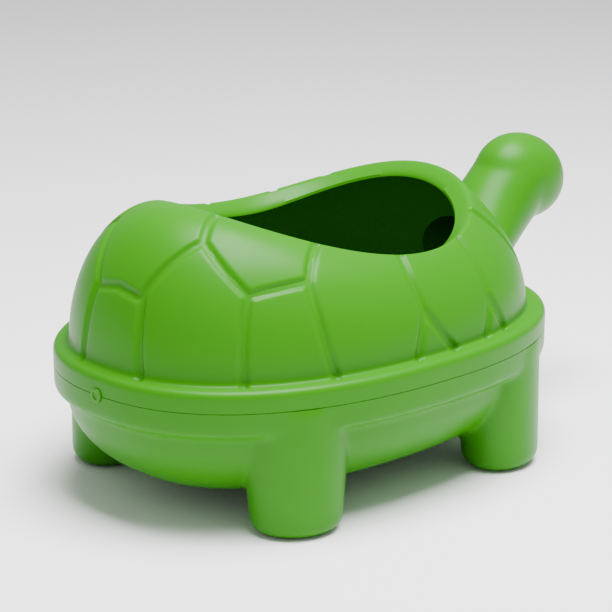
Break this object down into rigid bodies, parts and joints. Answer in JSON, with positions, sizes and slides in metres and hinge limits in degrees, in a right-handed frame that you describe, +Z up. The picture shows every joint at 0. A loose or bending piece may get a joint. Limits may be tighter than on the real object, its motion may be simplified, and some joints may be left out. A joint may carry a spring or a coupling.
{
  "type": "play sandbox with cover",
  "caption": "Turtle-shaped moulded sand tub on hollow legs, with a lift-off domed shell cover that has a wide open mouth and a neck and head.",
  "frame": {"origin": "on the ground, under the middle of the whole object's box", "axes": "+X from tail to head, +Y to the animal's left, +Z up"},
  "size_m": [1.1059, 0.6748, 0.5004],
  "materials": {
    "green_plastic": "satin moulded polyethylene",
    "plug_plastic": "satin moulded polyethylene"
  },
  "bodies": {
    "tub": {"tub": "green_plastic"},
    "cover": {"cover": "green_plastic"},
    "vent_plug": {"vent_plug": "plug_plastic"}
  },
  "joints": [
    {"name": "cover_lift", "type": "slide", "parent": "tub", "child": "cover", "axis": [0, 0, 1], "range_m": [0, 0.3]},
    {"name": "vent_plug_pull", "type": "slide", "parent": "tub", "child": "vent_plug", "axis": [-1, 0, 0], "range_m": [0, 0.04]}
  ]
}
